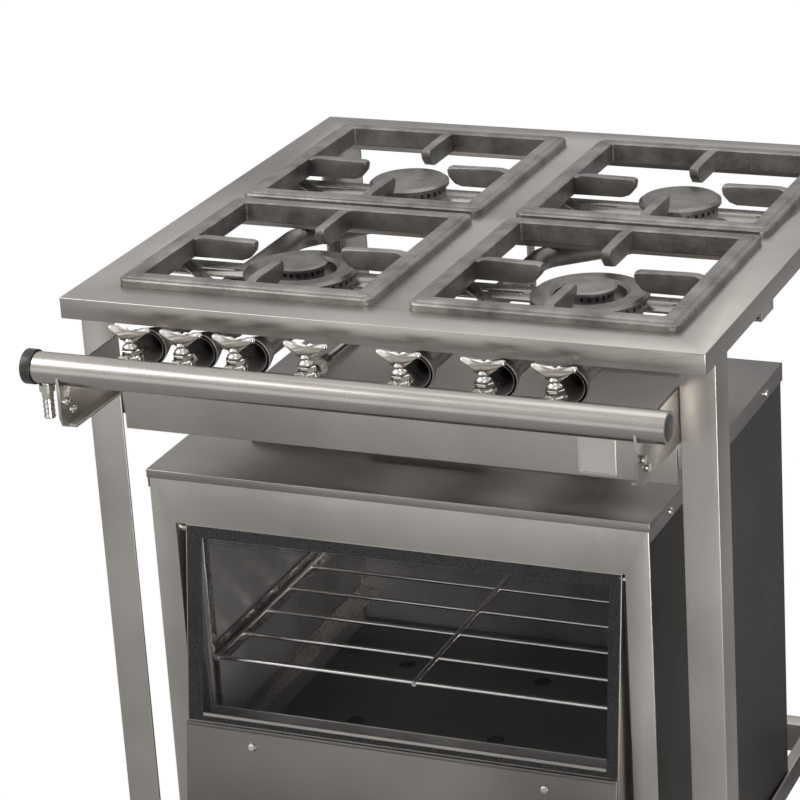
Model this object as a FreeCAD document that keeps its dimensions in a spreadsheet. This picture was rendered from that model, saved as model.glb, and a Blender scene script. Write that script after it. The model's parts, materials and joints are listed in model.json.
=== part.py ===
# Four-burner restaurant gas range with a hung oven, as a parametric document in millimetres.
# Pieces are drawn from the top frame's front left corner: x to the right, y to the back, z up
# from the floor. Each finished piece is then moved so that the origin is at the bottom centre.
import FreeCAD, Part
import math
import os
import re
import Sketcher
from FreeCAD import Placement, Rotation, Vector

doc = FreeCAD.newDocument("gas_range")
sheet = doc.addObject("Spreadsheet::Sheet", "dims")

SIZES = {
    # top frame, one bent and welded sheet
    "frame_width": 730, "frame_depth": 712, "frame_height": 850, "frame_sheet": 2, "lip_drop": 24,
    "grate_size": 300, "centre_rail": 42, "row_gap": 12, "rim_overlap": 6, "flange_drop": 24,
    # legs and stretchers
    "leg_width": 40, "leg_sheet": 3, "leg_setback": 38, "foot_height": 8,
    "stretcher_bottom": 50, "stretcher_height": 38, "stretcher_flange": 25, "angle_sheet": 3,
    # grates
    "rim_rise": 10, "rim_width": 22, "rim_drop": 14, "grate_clearance": 1.5, "rim_corner": 12,
    "finger_thick": 12, "finger_depth": 24, "finger_gap": 52,
    # burners
    "tube_radius": 13, "tube_bore": 10, "tube_bend": 40, "tube_level": 50,
    "mouth_radius": 20, "mouth_start": 4, "mouth_length": 26,
    "head_rise": 20, "ring_radius": 65, "ring_inner": 40, "ring_height": 12,
    "inner_cap_radius": 30, "inner_rise": 8, "inner_cap_height": 12, "rear_head_rise": 26,
    "rear_cap_radius": 48, "rear_cap_height": 14, "cap_skirt": 4, "skirt_height": 6,
    "bar_width": 44, "bar_sheet": 3, "bar_forward": 2, "bar_clearance": 1,
    "slot_length": 50, "middle_bar_y": 384, "middle_bar_width": 28, "strap_width": 20, "strap_sheet": 3,
    # gas pipe, its brackets and the inlet
    "pipe_radius": 17, "pipe_bore": 13.5, "pipe_reach": 78, "pipe_length": 716, "cap_length": 12,
    "cap_rim": 2, "bracket_sheet": 3, "bracket_front": 17, "bracket_drop": 64, "bracket_flange": 12,
    "bracket_corner": 14, "saddle_clearance": 0.3, "inlet_radius": 6.5, "inlet_drop": 40,
    "inlet_x": 21, "inlet_bore": 3.5,
    # taps
    "outer_share": 0.397, "tap_behind": 43, "tap_radius": 11, "tap_height": 26,
    "shank_radius": 7, "shank_clearance": 0.08,
    "stem_radius": 5, "handle_rise": 38, "wing_half": 25, "wing_height": 8, "wing_thick": 7,
    "hub_half": 6, "hub_height": 18, "stem_depth": 8, "stem_clearance": 0.3, "injector_radius": 4,
    "injector_gap": 6,
    # apron and drip tray
    "apron_top": 85, "apron_height": 77, "apron_fold": 14, "apron_tab": 24,
    "tray_wall": 12, "tray_inset": 75, "tray_side_gap": 1, "tray_front": 135, "tray_depth": 305,
    "tray_sheet": 2, "tray_lip": 16, "tray_lip_width": 140, "runner_flange": 20, "runner_web": 12,
    # oven body
    "oven_width": 580, "oven_depth": 480, "oven_height": 557, "oven_front": 25, "oven_sheet": 2,
    "oven_rail_flange": 28, "oven_rail_web": 28, "rail_clearance": 1.5, "cover_flange": 22,
    "border": 28, "header": 62, "sill": 36, "tunnel_depth": 33, "liner_step": 10,
    "liner_depth": 430, "liner_sheet": 1.5, "wool_clearance": 0.5,
    "oven_floor_rise": 130, "floor_sheet": 2, "floor_gap": 4, "floor_hole": 11,
    # oven burner and its feed
    "oven_burner_radius": 16, "oven_burner_rise": 26, "oven_burner_front": 100, "port_radius": 2,
    "port_pitch": 24, "feed_radius": 5, "feed_bend": 24, "feed_back": 612,
    # rack and its guides
    "guide_sheet": 2, "guide_flange": 17, "guide_web": 16, "upper_guide": 274, "lower_guide": 170,
    "post_width": 14, "guide_setback": 4, "wire_radius": 2.5, "border_wire": 3.2, "rack_clearance": 3,
    "rack_depth": 386, "rack_front": 54,
    # door
    "door_side_gap": 7, "door_top_gap": 4, "door_bottom_gap": 5, "door_setback": 11, "door_lean": 72,
    "door_back": 27, "door_sheet": 2, "glass_thick": 4, "glass_height": 226, "window_edge": 12,
    "panel_thick": 5, "panel_gap": 1, "pin_radius": 4, "pin_clearance": 0.08, "pin_down": 8,
    "pin_back": 5, "handle_radius": 7, "handle_length": 300, "handle_stand": 34, "handle_up": 70,
    # screws and plates
    "screw_radius": 5, "screw_head": 3,
    "badge_width": 42, "badge_height": 54, "badge_thick": 1.5, "badge_rise": 3,
}
for row, (alias, value) in enumerate(SIZES.items(), start=1):
    sheet.set("A%d" % row, alias)
    sheet.set("B%d" % row, str(value))
    sheet.setAlias("B%d" % row, alias)
doc.recompute()

NODES = []
BOLTS = []


def formula(text):
    """Puts the sheet's name before every size named in a formula."""
    named = lambda found: "dims." + found.group(0) if found.group(0) in SIZES else found.group(0)
    return re.sub(r"[a-z_]+", named, str(text))


def number(text):
    """The value of a formula, for the few places where a property takes no expression."""
    return doc.getObject("dims").evalExpression(formula(text))


# Places that several pieces share, written as formulas of the sheet's sizes.
SHIFT_X = "-(frame_width / 2)"
SHIFT_Y = "-((frame_depth - pipe_reach - pipe_radius - cap_rim) / 2)"
SIDE_RAIL = "((frame_width - 2 * grate_size - centre_rail) / 2)"
END_RAIL = "((frame_depth - 2 * grate_size - row_gap) / 2)"
COLUMNS = {"left": SIDE_RAIL, "right": "(%s + grate_size + centre_rail)" % SIDE_RAIL}
ROWS = {"front": END_RAIL, "rear": "(%s + grate_size + row_gap)" % END_RAIL}
GAS_Z = "(frame_height - tube_level)"
PIPE_Y = "(-pipe_reach)"
TAP_Y = "(-pipe_reach + tap_behind)"
OVEN_Z = "(stretcher_bottom + stretcher_height + angle_sheet)"
OVEN_X = "((frame_width - oven_width) / 2)"
OVEN_TOP = "(%s + oven_height)" % OVEN_Z
MOUTH_X = "(%s + border)" % OVEN_X
MOUTH_W = "(oven_width - 2 * border)"
MOUTH_Z = "(%s + sill)" % OVEN_Z
MOUTH_TOP = "(%s - header)" % OVEN_TOP
LINER_X = "(%s + liner_step)" % MOUTH_X
LINER_W = "(%s - 2 * liner_step)" % MOUTH_W
LINER_Y = "(oven_front + tunnel_depth)"
LINER_Z = "(%s + 2 * oven_sheet)" % MOUTH_Z
LINER_H = "(%s - liner_step - %s)" % (MOUTH_TOP, LINER_Z)


def place(thing, x, y, z):
    for axis, text in zip("xyz", (x, y, z)):
        thing.setExpression("Placement.Base." + axis, formula(text))
    return thing


TURNS = {
    "x": Rotation(Vector(0, 1, 0), 90),
    "y": Rotation(Vector(1, 0, 0), -90),
    "z": Rotation(),
    "down": Rotation(Vector(1, 0, 0), 180),
}


def sized(kind, sizes, at, turn="z"):
    """One Part primitive with its sizes and its place bound to the sheet."""
    thing = doc.addObject(kind, "solid")
    thing.Placement = Placement(Vector(), TURNS[turn])
    for name, text in sizes.items():
        thing.setExpression(name, formula(text))
    return place(thing, *at)


def box(x, y, z, length, width, height):
    return sized("Part::Box", {"Length": length, "Width": width, "Height": height}, (x, y, z))


def cylinder(x, y, z, radius, height, turn="z"):
    return sized("Part::Cylinder", {"Radius": radius, "Height": height}, (x, y, z), turn)


def cone(x, y, z, start_radius, end_radius, height, turn="z"):
    sizes = {"Radius1": start_radius, "Radius2": end_radius, "Height": height}
    return sized("Part::Cone", sizes, (x, y, z), turn)


def fuse(*parts):
    whole = doc.addObject("Part::MultiFuse", "fused")
    whole.Shapes = list(parts)
    whole.Refine = True
    return whole


def cut(base, *tools):
    whole = doc.addObject("Part::Cut", "cut")
    whole.Base = base
    whole.Tool = tools[0] if len(tools) == 1 else fuse(*tools)
    whole.Refine = True
    return whole


def group(*parts):
    whole = doc.addObject("Part::Compound", "group")
    whole.Links = list(parts)
    return whole


def node(label, thing, moved=("0", "0", "0")):
    """Names a finished piece and moves it from the frame's corner to the part's origin."""
    if thing.TypeId in ("Part::Box", "Part::Cylinder", "Part::Cone"):
        thing = group(thing)
    place(thing, "%s + %s" % (moved[0], SHIFT_X), "%s + %s" % (moved[1], SHIFT_Y), moved[2])
    thing.Label = label
    NODES.append(thing)
    return thing


def plane_of(body, role):
    return next(f for f in body.Origin.OriginFeatures if f.Role == role)


def outline(body, role, points):
    """A closed sketch of straight lines whose corners are bound to the sheet."""
    sketch = body.newObject("Sketcher::SketchObject", "outline")
    sketch.AttachmentSupport = [(plane_of(body, role), "")]
    sketch.MapMode = "FlatFace"
    corners = [Vector(number(u), number(v), 0) for u, v in points]
    count = len(corners)
    for i, corner in enumerate(corners):
        sketch.addGeometry(Part.LineSegment(corner, corners[(i + 1) % count]), False)
    for i in range(count):
        sketch.addConstraint(Sketcher.Constraint("Coincident", i, 2, (i + 1) % count, 1))
    for i, texts in enumerate(points):
        for kind, text in zip(("DistanceX", "DistanceY"), texts):
            index = sketch.addConstraint(Sketcher.Constraint(kind, -1, 1, i, 1, number(text)))
            sketch.setExpression("Constraints[%d]" % index, formula(text))
    return sketch


def padded(label, role, points, length, moved, back=False):
    """A bent or cut plate: one outline padded to a length, as its own body."""
    body = doc.addObject("PartDesign::Body", "body")
    sketch = outline(body, role, points)
    pad = body.newObject("PartDesign::Pad", "pad")
    pad.Profile = sketch
    pad.setExpression("Length", formula(length))
    pad.Reversed = back
    return node(label, body, moved) if label else place(body, *moved)


def turned(points):
    """A piece turned about its own upright axis."""
    body = doc.addObject("PartDesign::Body", "turned")
    sketch = outline(body, "XZ_Plane", points)
    spin = body.newObject("PartDesign::Revolution", "spin")
    spin.Profile = sketch
    spin.ReferenceAxis = (sketch, ["V_Axis"])
    spin.Angle = 360
    return body


# --- top frame: a flat sheet with a lip all round and a flange round each of its four openings
def make_top_frame():
    plate = box(0, 0, "frame_height - frame_sheet", "frame_width", "frame_depth", "frame_sheet")
    lip = cut(
        box(0, 0, "frame_height - lip_drop", "frame_width", "frame_depth", "lip_drop"),
        box("frame_sheet", "frame_sheet", "frame_height - lip_drop - 1",
            "frame_width - 2 * frame_sheet", "frame_depth - 2 * frame_sheet", "lip_drop + 2"),
    )
    flanges, openings = [], []
    for x in COLUMNS.values():
        for y in ROWS.values():
            flanges.append(box(
                "%s + rim_overlap - frame_sheet" % x, "%s + rim_overlap - frame_sheet" % y,
                "frame_height - flange_drop", "grate_size - 2 * rim_overlap + 2 * frame_sheet",
                "grate_size - 2 * rim_overlap + 2 * frame_sheet", "flange_drop"))
            openings.append(box(
                "%s + rim_overlap" % x, "%s + rim_overlap" % y, "frame_height - flange_drop - 1",
                "grate_size - 2 * rim_overlap", "grate_size - 2 * rim_overlap", "flange_drop + 2"))
    node("top_frame", cut(fuse(plate, lip, *flanges), *openings))


# --- legs: bent angles with their corner outwards, each on a moulded foot
def make_legs():
    inner = "frame_sheet"
    feet = []
    for side, x, across in (("left", inner, 1), ("right", "frame_width - %s" % inner, -1)):
        for end, y, along in (("front", "leg_setback", 1), ("rear", "frame_depth - %s" % inner, -1)):
            points = [
                ("0", "0"), ("%d * leg_width" % across, "0"),
                ("%d * leg_width" % across, "%d * leg_sheet" % along),
                ("%d * leg_sheet" % across, "%d * leg_sheet" % along),
                ("%d * leg_sheet" % across, "%d * leg_width" % along),
                ("0", "%d * leg_width" % along),
            ]
            padded("%s_%s_leg" % (end, side), "XY_Plane", points,
                   "frame_height - frame_sheet - foot_height", (x, y, "foot_height"))
            foot_x = x if across > 0 else "%s - leg_width" % x
            foot_y = y if along > 0 else "%s - leg_width" % y
            feet.append(box(foot_x, foot_y, 0, "leg_width", "leg_width", "foot_height"))
    node("leg_feet", group(*feet))


# --- stretchers: angles that tie the legs near the floor
def make_stretchers():
    depth = "(frame_depth - leg_setback - frame_sheet - 2 * leg_sheet)"
    start_y = "leg_setback + leg_sheet"
    wall = "(frame_sheet + leg_sheet)"
    web = [("0", "0"), ("angle_sheet", "0"), ("angle_sheet", "stretcher_height - angle_sheet"),
           ("stretcher_flange", "stretcher_height - angle_sheet"),
           ("stretcher_flange", "stretcher_height"), ("0", "stretcher_height")]
    mirrored = [("-(%s)" % u, v) for u, v in web]
    node("side_stretchers", group(
        padded(None, "XZ_Plane", web, depth, (wall, start_y, "stretcher_bottom"), True),
        padded(None, "XZ_Plane", mirrored, depth,
               ("frame_width - %s" % wall, start_y, "stretcher_bottom"), True)))
    clear = "(%s + stretcher_flange)" % wall
    span = "frame_width - 2 * %s" % clear
    node("cross_stretchers", group(
        padded(None, "YZ_Plane", web, span, (clear, start_y, "stretcher_bottom")),
        padded(None, "YZ_Plane", web, span,
               (clear, "frame_depth - frame_sheet - leg_width", "stretcher_bottom"))))


# --- oven rails: two angles laid across the stretchers, webs up beside the oven
def make_oven_rails():
    level = "stretcher_bottom + stretcher_height"
    profile = [("0", "0"), ("oven_rail_flange", "0"), ("oven_rail_flange", "angle_sheet"),
               ("angle_sheet", "angle_sheet"), ("angle_sheet", "oven_rail_web"),
               ("0", "oven_rail_web")]
    mirrored = [("-(%s)" % u, v) for u, v in profile]
    start = "leg_setback + leg_sheet"
    length = "frame_depth - frame_sheet - leg_width + stretcher_flange - leg_setback - leg_sheet"
    left = "%s - rail_clearance - angle_sheet" % OVEN_X
    right = "%s + oven_width + rail_clearance + angle_sheet" % OVEN_X
    node("oven_rails", group(
        padded(None, "XZ_Plane", profile, length, (left, start, level), True),
        padded(None, "XZ_Plane", mirrored, length, (right, start, level), True)))


# --- grates: a cast rim that drops into its opening, with four fingers round an open centre
def make_grate(label, x, y):
    top = "frame_height"
    middle = "grate_size / 2"
    rim = box(x, y, top, "grate_size", "grate_size", "rim_rise")
    doc.recompute()
    rounded = doc.addObject("Part::Fillet", "rounded")
    rounded.Base = rim
    upright = [i for i, edge in enumerate(rim.Shape.Edges, start=1)
               if abs(edge.tangentAt(edge.FirstParameter).z) > 0.5]
    rounded.Edges = [(i, SIZES["rim_corner"], SIZES["rim_corner"]) for i in upright]
    step = "(rim_overlap + grate_clearance)"
    skirt = box("%s + %s" % (x, step), "%s + %s" % (y, step), "%s - rim_drop" % top,
                "grate_size - 2 * %s" % step, "grate_size - 2 * %s" % step, "rim_drop + rim_rise / 2")
    hollow = box("%s + rim_width" % x, "%s + rim_width" % y, "%s - rim_drop - 1" % top,
                 "grate_size - 2 * rim_width", "grate_size - 2 * rim_width",
                 "rim_drop + rim_rise + 2")
    frame = cut(fuse(rounded, skirt), hollow)
    low = "%s + rim_rise - finger_depth" % top
    reach = "%s - rim_width + 2 - finger_gap" % middle
    thick = "finger_thick"
    half = "finger_thick / 2"
    cx, cy = "%s + %s" % (x, middle), "%s + %s" % (y, middle)
    fingers = [
        box("%s + rim_width - 2" % x, "%s - %s" % (cy, half), low, reach, thick, "finger_depth"),
        box("%s + finger_gap" % cx, "%s - %s" % (cy, half), low, reach, thick, "finger_depth"),
        box("%s - %s" % (cx, half), "%s + finger_gap" % cy, low, thick, reach, "finger_depth"),
        box("%s - %s" % (cx, half), "%s + rim_width - 2" % y, low, thick, reach, "finger_depth"),
    ]
    node(label, fuse(frame, *fingers))


def rounded_path(points, radius):
    """Straight runs joined by arcs of one radius, for a bent pipe."""
    edges, start = [], points[0]
    for before, corner, after in zip(points, points[1:], points[2:]):
        into, out = (corner - before).normalize(), (after - corner).normalize()
        back = radius * math.tan(into.getAngle(out) / 2)
        first, last = corner - into * back, corner + out * back
        inward = (out - into).normalize()
        middle = corner + inward * (math.hypot(back, radius) - radius)
        edges += [Part.LineSegment(start, first).toShape(), Part.Arc(first, middle, last).toShape()]
        start = last
    edges.append(Part.LineSegment(start, points[-1]).toShape())
    return Part.Wire(edges)


# --- burner castings: a head and one mixing tube, or two, with a flared mouth behind the tap
def mixing_tube(x, end_y):
    """The flared mouth and its straight tube, if it has one, and the bore to cut from them."""
    start = "(mouth_start + mouth_length)"
    solid = [cone(x, "mouth_start", GAS_Z, "mouth_radius", "tube_radius", "mouth_length", "y")]
    if end_y:
        solid.append(cylinder(x, start, GAS_Z, "tube_radius", "%s - %s" % (end_y, start), "y"))
    bore = [
        cone(x, "mouth_start - 0.5", GAS_Z, "mouth_radius - 3", "tube_bore", "mouth_length + 0.5", "y"),
        cylinder(x, start, GAS_Z, "tube_bore", "60", "y"),
    ]
    return solid, bore


def make_front_burner(side, left_tube, right_tube):
    cx = "%s + grate_size / 2" % COLUMNS[side]
    cy = "(%s + grate_size / 2)" % ROWS["front"]
    head = "ring_radius - cap_skirt"
    solids = [
        cylinder(cx, cy, "%s - 6" % GAS_Z, head, "head_rise + 6"),
        cylinder(cx, cy, "%s + head_rise - 1" % GAS_Z, "inner_cap_radius - cap_skirt", "inner_rise + 1"),
    ]
    bores = [bar_slot(cx, cy)]
    for tube_x in (left_tube, right_tube):
        solid, bore = mixing_tube(tube_x, "(%s - 20)" % cy)
        solids += solid
        bores += bore
    node("front_%s_burner" % side, cut(fuse(*solids), *bores))


def bar_slot(cx, cy):
    """The notch under a burner's head that drops over its bar."""
    return box("%s - 100" % cx, "%s - bar_forward - bar_clearance" % cy, "%s - 40" % GAS_Z, "200",
               "bar_width + 2 * bar_clearance", "tube_radius + saddle_clearance + bar_sheet + 40")


def make_rear_burner(side, tube_x):
    cx = "%s + grate_size / 2" % COLUMNS[side]
    cy = "(%s + grate_size / 2)" % ROWS["rear"]
    bend_y = "(%s - 130)" % cy
    end_y = "(%s - 20)" % cy
    mouth, bore = mixing_tube(tube_x, None)
    level = number(GAS_Z)
    first = Vector(number(tube_x), number("mouth_start + mouth_length"), level)
    path = rounded_path([first, Vector(first.x, number(bend_y), level),
                         Vector(number(cx), number(end_y), level)], number("tube_bend"))
    ring = Part.Wire(Part.makeCircle(number("tube_radius"), first, Vector(0, 1, 0)))
    tube = doc.addObject("Part::Feature", "tube")
    tube.Shape = path.makePipeShell([ring], True, True)
    head = "rear_cap_radius - cap_skirt"
    bowl = cylinder(cx, cy, "%s - 6" % GAS_Z, head, "rear_head_rise + 6")
    node("rear_%s_burner" % side, cut(fuse(tube, *mouth, bowl), bar_slot(cx, cy), *bore))


def toothed_cap(label, side, row, level, points, slots, slot_start, slot_length):
    """A turned cap with flame slots round its skirt."""
    body = turned(points)
    pocket_sketch = outline(body, "XY_Plane", [
        (slot_start, "-1.5"), ("%s + %s" % (slot_start, slot_length), "-1.5"),
        ("%s + %s" % (slot_start, slot_length), "1.5"), (slot_start, "1.5")])
    pocket = body.newObject("PartDesign::Pocket", "slot")
    pocket.Profile = pocket_sketch
    pocket.setExpression("Length", formula("skirt_height - 1"))
    pocket.Reversed = True
    doc.recompute()
    pattern = body.newObject("PartDesign::PolarPattern", "slots")
    pattern.Originals = [pocket]
    pattern.Axis = (plane_of(body, "Z_Axis"), [""])
    pattern.Angle = 360
    pattern.Occurrences = slots
    body.Tip = pattern
    node(label, body, ("%s + grate_size / 2" % COLUMNS[side], "%s + grate_size / 2" % ROWS[row], level))


def make_caps():
    for side in COLUMNS:
        toothed_cap("front_%s_ring_cap" % side, side, "front", "%s + head_rise" % GAS_Z, [
            ("ring_inner + 2", "0"), ("ring_radius - cap_skirt", "0"),
            ("ring_radius - cap_skirt", "skirt_height"), ("ring_radius", "skirt_height + 1"),
            ("ring_radius", "ring_height - 3"), ("ring_radius - 4", "ring_height"),
            ("ring_inner + 4", "ring_height"), ("ring_inner", "ring_height - 3"),
            ("ring_inner", "skirt_height + 1"), ("ring_inner + 2", "skirt_height"),
        ], 36, "ring_radius - cap_skirt - 6", "12")
        toothed_cap("front_%s_inner_cap" % side, side, "front",
                    "%s + head_rise + inner_rise" % GAS_Z, [
            ("0", "0"), ("inner_cap_radius - cap_skirt", "0"),
            ("inner_cap_radius - cap_skirt", "skirt_height"),
            ("inner_cap_radius", "skirt_height + 1"), ("inner_cap_radius", "inner_cap_height - 2"),
            ("inner_cap_radius - 3", "inner_cap_height"), ("0", "inner_cap_height"),
        ], 20, "inner_cap_radius - cap_skirt - 6", "12")
        toothed_cap("rear_%s_burner_cap" % side, side, "rear", "%s + rear_head_rise" % GAS_Z, [
            ("0", "0"), ("rear_cap_radius - cap_skirt", "0"),
            ("rear_cap_radius - cap_skirt", "skirt_height"),
            ("rear_cap_radius", "skirt_height + 1"), ("rear_cap_radius", "rear_cap_height - 3"),
            ("rear_cap_radius - 4", "rear_cap_height"), ("0", "rear_cap_height"),
        ], 30, "rear_cap_radius - cap_skirt - 6", "12")


# --- burner bars: slotted flat bars hung inside the frame by their bent-up ends
def make_burner_bars():
    level = "(%s + tube_radius + saddle_clearance)" % GAS_Z
    rise = "frame_height - frame_sheet - %s" % level
    bars = []
    for row in ROWS:
        y = "(%s + grate_size / 2 - bar_forward)" % ROWS[row]
        flat = box("frame_sheet", y, level, "frame_width - 2 * frame_sheet", "bar_width", "bar_sheet")
        ends = [box(x, y, level, "bar_sheet", "bar_width", rise)
                for x in ("frame_sheet", "frame_width - frame_sheet - bar_sheet")]
        slots = [box("%s + %s" % (x, shift), "%s + bar_width / 2 - 4" % y, "%s - 1" % level,
                     "slot_length", "8", "bar_sheet + 2")
                 for x in COLUMNS.values() for shift in ("14", "grate_size - 14 - slot_length")]
        bars.append(cut(fuse(flat, *ends), *slots))
    flat = box("frame_sheet", "middle_bar_y", level, "frame_width - 2 * frame_sheet",
               "middle_bar_width", "bar_sheet")
    ends = [box(x, "middle_bar_y", level, "bar_sheet", "middle_bar_width", rise)
            for x in ("frame_sheet", "frame_width - frame_sheet - bar_sheet")]
    node("burner_bars", group(*bars, fuse(flat, *ends)))
    for y in ("%s + grate_size / 2 - bar_forward + bar_width / 2" % ROWS["front"],
              "middle_bar_y + middle_bar_width / 2",
              "%s + grate_size / 2 - bar_forward + bar_width / 2" % ROWS["rear"]):
        for x in ("frame_sheet + bar_sheet", "frame_width - frame_sheet - bar_sheet - screw_head"):
            BOLTS.append(cylinder(x, y, "frame_height - lip_drop + 9", "screw_radius", "screw_head", "x"))


# --- straps: one flat strip across the near left corner of each opening
def make_straps():
    straps = []
    half = "grate_size / 2 - rim_overlap"
    for x in COLUMNS.values():
        for y in ROWS.values():
            sketch_body = padded(None, "XY_Plane", [
                ("0", "%s - strap_width / 2" % half), ("0", "%s + strap_width / 2" % half),
                ("%s + strap_width / 2" % half, "0"), ("%s - strap_width / 2" % half, "0"),
            ], "strap_sheet", ("%s + rim_overlap" % x, "%s + rim_overlap" % y,
                               "frame_height - flange_drop"))
            straps.append(sketch_body)
    node("burner_straps", group(*straps))


# --- gas pipe across the front, its cap, plug, inlet and brackets
TAPS = {name: "(%s + grate_size * %s)" % (COLUMNS[side], share) for name, side, share in (
    ("rear_left", "left", "0.193"), ("front_left_outer", "left", "outer_share"),
    ("front_left_inner", "left", "0.603"), ("oven", "left", "0.877"), ("rear_right", "right", "0.087"),
    ("front_right_outer", "right", "outer_share"), ("front_right_inner", "right", "0.653"))}
PIPE_X = "cap_rim"


def make_pipe():
    body = cylinder(PIPE_X, PIPE_Y, GAS_Z, "pipe_radius", "pipe_length - cap_rim", "x")
    bore = cylinder("%s - 1" % PIPE_X, PIPE_Y, GAS_Z, "pipe_bore", "pipe_length + 2", "x")
    holes = [cylinder(x, PIPE_Y, GAS_Z, "shank_radius", "pipe_radius + 2", "y") for x in TAPS.values()]
    inlet = cylinder("inlet_x", PIPE_Y, "%s - pipe_radius - 2" % GAS_Z, "inlet_radius", "pipe_radius")
    node("gas_pipe", cut(body, bore, inlet, *holes))
    cap = cylinder(0, PIPE_Y, GAS_Z, "pipe_radius + cap_rim", "cap_length", "x")
    seat = cylinder(PIPE_X, PIPE_Y, GAS_Z, "pipe_radius + saddle_clearance", "cap_length", "x")
    plug = cylinder("pipe_length - 10", PIPE_Y, GAS_Z, "pipe_bore - shank_clearance", "10", "x")
    node("pipe_end_caps", group(cut(cap, seat), plug))
    top = "%s - pipe_radius + 4" % GAS_Z
    stem = cylinder("inlet_x", PIPE_Y, top, "inlet_radius - shank_clearance", "inlet_drop + 4", "down")
    collar = cylinder("inlet_x", PIPE_Y, "%s - pipe_radius - 1" % GAS_Z, "inlet_radius + 2", "8", "down")
    hole = cylinder("inlet_x", PIPE_Y, "%s + 1" % top, "inlet_bore", "inlet_drop + 6", "down")
    node("gas_inlet_nipple", cut(fuse(stem, collar), hole))


def make_brackets():
    """Side plates that carry the pipe, each with a flange turned in under the plate."""
    bottom = "(%s - bracket_drop)" % GAS_Z
    front = "(-pipe_reach - bracket_front)"
    top = "(%s - 4)" % GAS_Z
    profile = [
        (front, "%s + bracket_corner" % bottom),
        ("%s + bracket_corner * 0.3" % front, "%s + bracket_corner * 0.3" % bottom),
        ("%s + bracket_corner" % front, bottom),
        ("leg_setback + leg_sheet", bottom), ("leg_setback + leg_sheet", top), (front, top)]
    brackets = []
    for x, inward in (("frame_sheet + leg_width", 1),
                      ("frame_width - frame_sheet - leg_width - bracket_sheet", -1)):
        plate = padded(None, "YZ_Plane", profile, "bracket_sheet", (x, "0", "0"))
        flange_x = x if inward > 0 else "%s - bracket_flange + bracket_sheet" % x
        flange = box(flange_x, "%s + bracket_corner" % front, bottom, "bracket_flange",
                     "leg_setback - 2 - %s - bracket_corner" % front, "bracket_sheet")
        saddle = cylinder("%s - 1" % x, PIPE_Y, GAS_Z, "pipe_radius + saddle_clearance",
                          "bracket_sheet + 2", "x")
        open_top = box("%s - 1" % x, "%s - pipe_radius - saddle_clearance" % PIPE_Y, GAS_Z,
                       "bracket_sheet + 2", "2 * pipe_radius + 2 * saddle_clearance", "pipe_radius")
        brackets.append(cut(fuse(plate, flange), saddle, open_top))
    node("pipe_brackets", group(*brackets))
    for x in ("frame_sheet + leg_width + bracket_sheet", "frame_width - frame_sheet - leg_width"):
        for y, z in (("-pipe_reach - 3", "-35"), ("-pipe_reach + 8", "-48")):
            BOLTS.append(cylinder(x, y, "%s + %s" % (GAS_Z, z), "screw_radius", "screw_head + 1", "x"))


# --- taps: a body screwed into the back of the pipe, an injector and a winged handle
def make_taps():
    bodies, injectors = [], []
    shank_start = "%s + pipe_bore - 2" % PIPE_Y
    half = "tap_height / 2"
    for name, x in TAPS.items():
        shank = cylinder(x, shank_start, GAS_Z, "shank_radius - shank_clearance",
                         "%s - (%s)" % (TAP_Y, shank_start), "y")
        barrel = cylinder(x, TAP_Y, "%s - %s" % (GAS_Z, half), "tap_radius", "tap_height")
        nose = cylinder(x, TAP_Y, GAS_Z, "shank_radius", "tap_radius + 10", "y")
        socket = cylinder(x, TAP_Y, "%s + %s - stem_depth" % (GAS_Z, half),
                          "stem_radius + shank_clearance", "stem_depth + 1")
        bodies.append(cut(fuse(shank, barrel, nose), socket))
        injector_y = "%s + tap_radius + 10" % TAP_Y
        injectors.append(cylinder(x, injector_y, GAS_Z, "injector_radius",
                                  "mouth_start - injector_gap - (%s)" % injector_y, "y"))
        wings = [
            ("-wing_half", "0"), ("-wing_half", "wing_height * 0.6"), ("-wing_half + 3", "wing_height"),
            ("wing_half - 3", "wing_height"), ("wing_half", "wing_height * 0.6"), ("wing_half", "0"),
            ("hub_half + 3", "-3"), ("hub_half", "wing_height - hub_height"),
            ("-hub_half", "wing_height - hub_height"), ("-hub_half - 3", "-3")]
        rise = "%s + handle_rise - wing_height" % GAS_Z
        blade = padded(None, "XZ_Plane", wings, "wing_thick", (x, "%s + wing_thick / 2" % TAP_Y, rise))
        stem_z = "%s + %s - stem_depth + stem_clearance" % (GAS_Z, half)
        stem = cylinder(x, TAP_Y, stem_z, "stem_radius", "%s + 2 - (%s)" % (rise, stem_z))
        node("%s_tap_handle" % name, fuse(blade, stem))
    node("tap_bodies", group(*bodies))
    node("gas_injectors", group(*injectors))


# --- apron: a folded panel between the pipe brackets, with a tab behind each front leg
def make_apron():
    x = "(frame_sheet + leg_width + bracket_sheet + 1)"
    width = "(frame_width - 2 * %s)" % x
    z = "(frame_height - apron_top - apron_height)"
    face = box(x, "leg_setback", z, width, "oven_sheet", "apron_height")
    shelf = box(x, "leg_setback", "%s + apron_height - oven_sheet" % z, width, "apron_fold", "oven_sheet")
    hem = box(x, "leg_setback", z, width, "apron_fold", "oven_sheet")
    behind = "leg_setback + leg_sheet"
    tabs = []
    for side in (x, "frame_width - %s - oven_sheet" % x):
        tabs.append(box(side, "leg_setback", "%s + 16" % z, "oven_sheet", "leg_sheet + oven_sheet",
                        "apron_height - 32"))
    tabs.append(box("%s - apron_tab" % x, behind, "%s + 16" % z, "apron_tab + oven_sheet", "oven_sheet",
                    "apron_height - 32"))
    tabs.append(box("frame_width - %s - oven_sheet" % x, behind, "%s + 16" % z,
                    "apron_tab + oven_sheet", "oven_sheet", "apron_height - 32"))
    node("front_apron", fuse(face, shelf, hem, *tabs))
    plate = box("%s + grate_size - 110" % COLUMNS["right"], "leg_setback - badge_thick",
                "%s + badge_rise" % z, "badge_width", "badge_thick", "badge_height")
    node("blank_plate", plate)


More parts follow.
